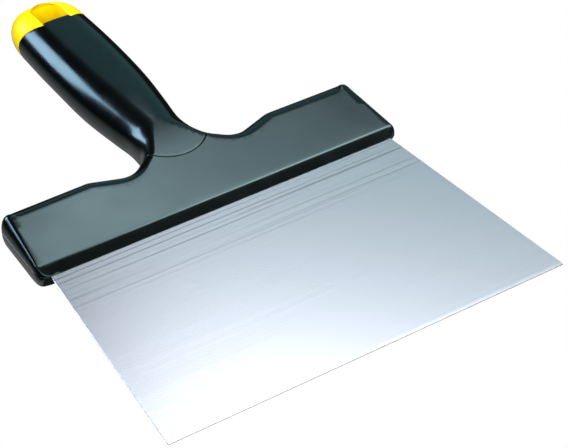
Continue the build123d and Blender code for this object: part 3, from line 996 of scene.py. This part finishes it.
FLOOR_Z = -0.030
FLOOR_HALF = 30.0
LIGHT_DISTANCE = 2.0
CENTRE = Vector((0.0, (cad_box[0][1] + cad_box[1][1]) / 2, BLADE_Z))
CAMERA_PLACE = (-0.3964, -0.68147, 0.62521)
CAMERA_AIM = (0.4253, 0.6453, -0.6347)
CAMERA_LENS = 137.8
CAMERA_SENSOR = 36.0

# The table seen in the gloss: where it is lit, how bright, and how far below the horizon it starts.
TABLE_AZIMUTH = 118
TABLE_EDGE = (0.6, 0.95)
TABLE_LIGHT = (0.02, 0.36)
TABLE_BELOW = (-0.15, -0.45)
STUDIO_LIGHT = 0.012


def make_floor():
    """A floor low enough that the flexed blade doesn't reach it."""
    mesh = bpy.data.meshes.new("floor")
    signs = ((-1, -1), (1, -1), (1, 1), (-1, 1))
    corners = [(x * FLOOR_HALF, y * FLOOR_HALF, FLOOR_Z) for x, y in signs]
    mesh.from_pydata(corners, [], [(0, 1, 2, 3)])
    floor = bpy.data.objects.new("floor", mesh)
    bpy.context.scene.collection.objects.link(floor)
    mesh.materials.append(floor_material())
    floor.visible_glossy = floor.visible_diffuse = False


def toward(azimuth, elevation):
    """A direction from the knife: azimuth is from +X towards +Y, in degrees."""
    a, e = math.radians(azimuth), math.radians(elevation)
    return Vector((math.cos(a) * math.cos(e), math.sin(a) * math.cos(e), math.sin(e)))


def softbox(name, azimuth, elevation, wide, high, radiance, colour, roll=0):
    """A rectangular light wide by high degrees as the knife sees it, turned by roll degrees."""
    light = bpy.data.lights.new(name, "AREA")
    light.shape = "RECTANGLE"
    light.size = 2 * LIGHT_DISTANCE * math.tan(math.radians(wide / 2))
    light.size_y = 2 * LIGHT_DISTANCE * math.tan(math.radians(high / 2))
    light.energy = radiance * math.pi * light.size * light.size_y
    light.color = colour
    box = bpy.data.objects.new(name, light)
    bpy.context.scene.collection.objects.link(box)
    box.location = CENTRE + toward(azimuth, elevation) * LIGHT_DISTANCE
    turn = (-toward(azimuth, elevation)).to_track_quat("-Z", "Y")
    box.rotation_euler = (turn @ Quaternion((0, 0, 1), math.radians(roll))).to_euler()
    return box


def make_camera():
    """The view from the front left, from above the blade's working edge."""
    data = bpy.data.cameras.new("camera")
    data.sensor_width = CAMERA_SENSOR
    data.lens = CAMERA_LENS
    camera = bpy.data.objects.new("camera", data)
    bpy.context.scene.collection.objects.link(camera)
    camera.location = CAMERA_PLACE
    camera.rotation_euler = Vector(CAMERA_AIM).to_track_quat("-Z", "Y").to_euler()
    bpy.context.scene.camera = camera


def make_world():
    """A dark studio over a table whose far side is lit. The camera sees white all round."""
    world = bpy.data.worlds.new("studio")
    world.use_nodes = True
    tree = world.node_tree
    background = tree.nodes["Background"]

    def node(kind, values=(), **settings):
        """A node with its first sockets linked or set to some values."""
        made = tree.nodes.new(kind)
        for name, value in settings.items():
            setattr(made, name, value)
        for socket, value in zip(made.inputs, values):
            if isinstance(value, bpy.types.NodeSocket):
                tree.links.new(value, socket)
            else:
                socket.default_value = value
        return made

    direction = node("ShaderNodeTexCoord").outputs["Generated"]
    flat = node("ShaderNodeVectorMath", [direction, (1, 1, 0)], operation="MULTIPLY").outputs[0]
    flat = node("ShaderNodeVectorMath", [flat], operation="NORMALIZE").outputs[0]
    lit_side = toward(TABLE_AZIMUTH, 0)
    side = node("ShaderNodeVectorMath", [flat, lit_side], operation="DOT_PRODUCT").outputs["Value"]
    height = node("ShaderNodeSeparateXYZ", [direction]).outputs["Z"]
    lit = node("ShaderNodeMapRange", [side, *TABLE_EDGE, *TABLE_LIGHT]).outputs[0]
    below = node("ShaderNodeMapRange", [height, *TABLE_BELOW, 0.0, 1.0]).outputs[0]
    table = node("ShaderNodeMath", [lit, below], operation="MULTIPLY").outputs[0]
    dim = node("ShaderNodeMath", [table, STUDIO_LIGHT], operation="ADD").outputs[0]
    shown = node("ShaderNodeMix")
    tree.links.new(node("ShaderNodeLightPath").outputs["Is Camera Ray"], shown.inputs["Factor"])
    tree.links.new(dim, shown.inputs["A"])
    shown.inputs["B"].default_value = 1.0
    tree.links.new(shown.outputs["Result"], background.inputs["Strength"])
    background.inputs["Color"].default_value = (1, 1, 1, 1)
    return world


# The first five lights make the highlights in the black plastic. The three named after views give the other
# sides something to mirror. The front light brightens matt surfaces, and isn't mirrored.
make_floor()
make_camera()
softbox("key_left", 33, 61.8, 36, 17, 5.4, (0.9, 0.94, 1.0), roll=-2)
softbox("key_low", 35, 50, 40, 7.0, 3.0, (0.85, 0.92, 1.0))
softbox("key_right", -2, 61, 17, 20, 7.5, (1.0, 1.0, 0.93))
softbox("rim", 123, 25, 19, 26, 11.5, (0.72, 0.86, 1.12))
softbox("wall", 42, 24, 60, 36, 0.42, (0.45, 0.93, 1.0))
softbox("back_view", -100, 45, 60, 44, 2.2, (1.0, 0.98, 0.95))
softbox("far_view", -50, 24, 60, 28, 1.6, (0.95, 0.98, 1.0))
softbox("side_view", 175, 55, 40, 30, 1.2, (0.95, 0.98, 1.0))
softbox("front", -123, 42, 60, 60, 4.2, (1.0, 0.98, 0.9)).visible_glossy = False
bpy.context.scene.world = make_world()
bpy.context.scene.view_settings.view_transform = "Standard"
